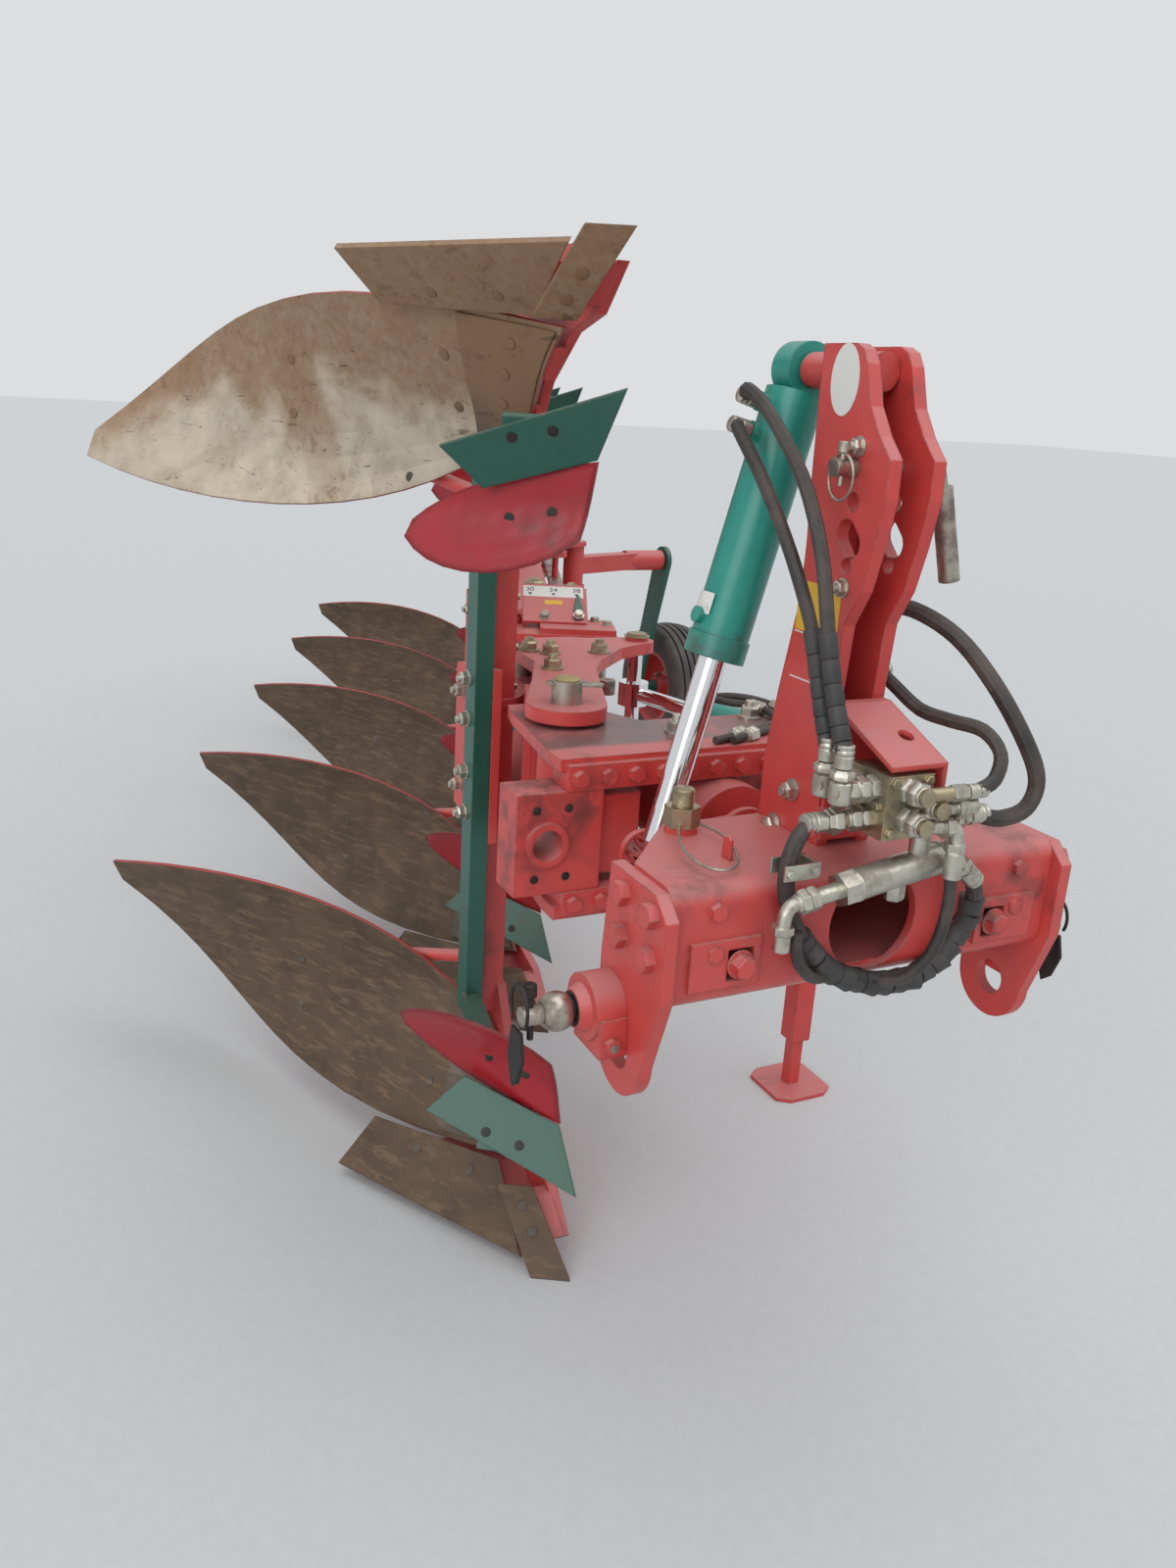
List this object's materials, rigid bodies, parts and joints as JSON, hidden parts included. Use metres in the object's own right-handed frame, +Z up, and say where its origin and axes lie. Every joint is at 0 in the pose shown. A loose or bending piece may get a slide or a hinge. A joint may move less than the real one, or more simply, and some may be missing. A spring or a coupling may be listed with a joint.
{
  "type": "reversible mouldboard plough",
  "caption": "Fully mounted reversible mouldboard plough with a turnover headstock, parallelogram width adjustment, skimmers, a depth wheel and a parking stand.",
  "frame": {"origin": "middle of the cross shaft, on the axis of the two lower-link balls", "axes": "+X forward to the tractor, +Y left along the lower-link axis, +Z up"},
  "size_m": [5.4481, 2.7385, 1.84],
  "materials": {
    "red_paint": "dusty, chipped semi-gloss",
    "green_paint": "semi-gloss",
    "bare_steel": "greasy machined steel",
    "worn_steel": "soil-worn steel with light rust",
    "chrome_rod": "polished",
    "zinc": "yellow zinc plate",
    "hose": "matt",
    "tyre": "matt"
  },
  "bodies": {
    "headstock": {"headstock_box": "red_paint", "end_plate_left": "red_paint", "end_plate_right": "red_paint", "hitch_clamps": "red_paint", "cross_shaft": "bare_steel", "hitch_balls": "bare_steel", "mast_plate_left": "red_paint", "mast_plate_right": "red_paint", "mast_core": "red_paint", "top_link_pin": "bare_steel", "stop_screws": "zinc", "valve_block": "zinc", "valve_cover": "red_paint", "pilot_valve": "bare_steel", "hose_loop": "hose", "hose_arc": "hose", "cylinder_hoses": "hose"},
    "turning_frame": {"turnover_shaft": "green_paint", "rail_plates": "red_paint", "rail_core": "red_paint", "carriage": "red_paint", "head_pin": "bare_steel", "stand_sleeve": "red_paint"},
    "stand": {"stand_leg": "red_paint"},
    "turnover_barrel": {"turnover_barrel": "green_paint"},
    "turnover_rod": {"turnover_rod": "chrome_rod"},
    "beam": {"beam_head": "red_paint", "beam": "red_paint", "scale_plate": "red_paint", "wheel_bracket": "red_paint"},
    "width_rod": {"width_rod": "bare_steel"},
    "memory_barrel": {"memory_barrel": "green_paint"},
    "memory_rod": {"memory_rod": "chrome_rod"},
    "wheel_arm": {"wheel_arm": "green_paint"},
    "wheel": {"wheel_rim": "red_paint", "wheel_tyre": "tyre"},
    "body_1": {"leg_1": "red_paint", "boards_1": "worn_steel", "skimmers_1": "green_paint", "skim_boards_1": "red_paint"},
    "body_2": {"leg_2": "red_paint", "boards_2": "worn_steel", "skimmers_2": "green_paint", "skim_boards_2": "red_paint"},
    "body_3": {"leg_3": "red_paint", "boards_3": "worn_steel", "skimmers_3": "green_paint", "skim_boards_3": "red_paint"},
    "body_4": {"leg_4": "red_paint", "boards_4": "worn_steel", "skimmers_4": "green_paint", "skim_boards_4": "red_paint"},
    "body_5": {"leg_5": "red_paint", "boards_5": "worn_steel", "skimmers_5": "green_paint", "skim_boards_5": "red_paint"}
  },
  "joints": [
    {"name": "turnover", "type": "hinge", "parent": "headstock", "child": "turning_frame", "pos_m": [-0.13, 0, 0.12], "axis": [-1, 0, 0], "range_deg": [0, 180]},
    {"name": "turnover_barrel_swing", "type": "hinge", "parent": "headstock", "child": "turnover_barrel", "pos_m": [-0.2, 0, 0.855], "axis": [1, 0, 0], "range_deg": [0, 28.99]},
    {"name": "turnover_rod_slide", "type": "slide", "parent": "turnover_barrel", "child": "turnover_rod", "axis": [0, 0.2503, 0.9682], "range_m": [0, 0.24]},
    {"name": "beam_swing", "type": "hinge", "parent": "turning_frame", "child": "beam", "pos_m": [-0.53, -0.193, 0.12], "axis": [0, 0, 1], "range_deg": [-3, 3]},
    {"name": "leg_1_swing", "type": "hinge", "parent": "beam", "child": "body_1", "pos_m": [-1.20036, 0.06971, 0.12], "axis": [0, 0, 1], "range_deg": [-3, 3]},
    {"name": "leg_2_swing", "type": "hinge", "parent": "beam", "child": "body_2", "pos_m": [-2.08207, 0.41525, 0.12], "axis": [0, 0, 1], "range_deg": [-3, 3]},
    {"name": "leg_3_swing", "type": "hinge", "parent": "beam", "child": "body_3", "pos_m": [-2.96378, 0.76079, 0.12], "axis": [0, 0, 1], "range_deg": [-3, 3]},
    {"name": "leg_4_swing", "type": "hinge", "parent": "beam", "child": "body_4", "pos_m": [-3.84549, 1.10633, 0.12], "axis": [0, 0, 1], "range_deg": [-3, 3]},
    {"name": "leg_5_swing", "type": "hinge", "parent": "beam", "child": "body_5", "pos_m": [-4.7272, 1.45186, 0.12], "axis": [0, 0, 1], "range_deg": [-3, 3]},
    {"name": "width_rod_swing", "type": "hinge", "parent": "body_1", "child": "width_rod", "pos_m": [-1.15949, 0.17399, 0.12], "axis": [0, 0, 1], "range_deg": [-3, 3]},
    {"name": "memory_barrel_swing", "type": "hinge", "parent": "turning_frame", "child": "memory_barrel", "pos_m": [-0.452, 0.352, 0.17], "axis": [0, 0, 1], "range_deg": [-1.9, 1.9]},
    {"name": "memory_rod_slide", "type": "slide", "parent": "memory_barrel", "child": "memory_rod", "axis": [-0.9658, -0.2592, 0], "range_m": [-0.0267, 0.0267]},
    {"name": "wheel_arm_swing", "type": "hinge", "parent": "beam", "child": "wheel_arm", "pos_m": [-3.42, 1.54, 0.12], "axis": [0, 1, 0], "range_deg": [0, 147]},
    {"name": "wheel_spin", "type": "hinge", "parent": "wheel_arm", "child": "wheel", "pos_m": [-3.6, 1.78, -0.5], "axis": [0, 1, 0], "continuous": true},
    {"name": "stand_slide", "type": "slide", "parent": "turning_frame", "child": "stand", "axis": [0, 0, 1], "range_m": [0, 0.11]}
  ],
  "couplings": [
    {"joint": "turnover_barrel_swing", "follows": "turnover", "ratio": 0.16104},
    {"joint": "turnover_rod_slide", "follows": "turnover", "m_per_rad": 0.076394},
    {"joint": "leg_1_swing", "follows": "beam_swing", "ratio": -1},
    {"joint": "leg_2_swing", "follows": "beam_swing", "ratio": -1},
    {"joint": "leg_3_swing", "follows": "beam_swing", "ratio": -1},
    {"joint": "leg_4_swing", "follows": "beam_swing", "ratio": -1},
    {"joint": "leg_5_swing", "follows": "beam_swing", "ratio": -1},
    {"joint": "width_rod_swing", "follows": "beam_swing", "ratio": 1},
    {"joint": "memory_barrel_swing", "follows": "beam_swing", "ratio": 0.62849},
    {"joint": "memory_rod_slide", "follows": "beam_swing", "m_per_rad": 0.50609}
  ]
}
